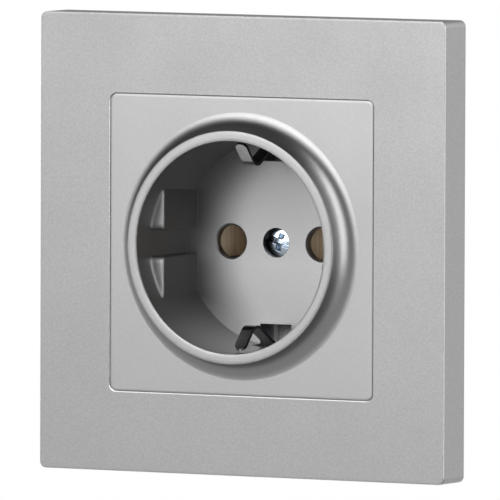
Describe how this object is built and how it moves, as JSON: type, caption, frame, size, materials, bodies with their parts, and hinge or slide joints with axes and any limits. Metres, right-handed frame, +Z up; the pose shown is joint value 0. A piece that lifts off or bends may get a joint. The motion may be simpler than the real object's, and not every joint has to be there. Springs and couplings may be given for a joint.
{
  "type": "type f wall socket",
  "caption": "Flush wall socket for two round pins with earth clips: square frame, central plate with a round plug well, support ring and insulated insert.",
  "frame": {"origin": "middle of the box screw pattern, in the wall plane", "axes": "+X to the right as seen from the room, +Y into the wall, +Z up; the front faces -Y"},
  "size_m": [0.0848, 0.0414, 0.0848],
  "materials": {
    "frame_lacquer": "silver lacquer, satin, fine grain",
    "plate_lacquer": "silver lacquer, satin, smooth",
    "zinc_steel": "zinc plated, bright",
    "spring_steel": "bare spring steel",
    "strap_metal": "tinned spring bronze, bright",
    "contact_brass": "rolled brass, dull",
    "base_plastic": "light grey moulding",
    "cover_plastic": "light grey moulding"
  },
  "bodies": {
    "root": {"cover_frame": "frame_lacquer", "central_plate": "plate_lacquer", "centre_screw": "zinc_steel", "support_ring": "zinc_steel", "socket_base": "base_plastic", "rear_cover": "cover_plastic", "earth_strap": "strap_metal", "centre_bush": "contact_brass", "earth_bar": "contact_brass", "clamp_plate_earth": "zinc_steel", "clamp_plate_left": "zinc_steel", "clamp_plate_right": "zinc_steel", "terminal_screws": "zinc_steel", "contact_rivets": "contact_brass", "ring_rivets": "zinc_steel", "cover_screws": "zinc_steel", "contact_left": "contact_brass", "contact_right": "contact_brass", "contact_spring_left": "spring_steel", "contact_spring_right": "spring_steel", "terminal_bar_left": "contact_brass", "terminal_bar_right": "contact_brass"}
  },
  "joints": []
}
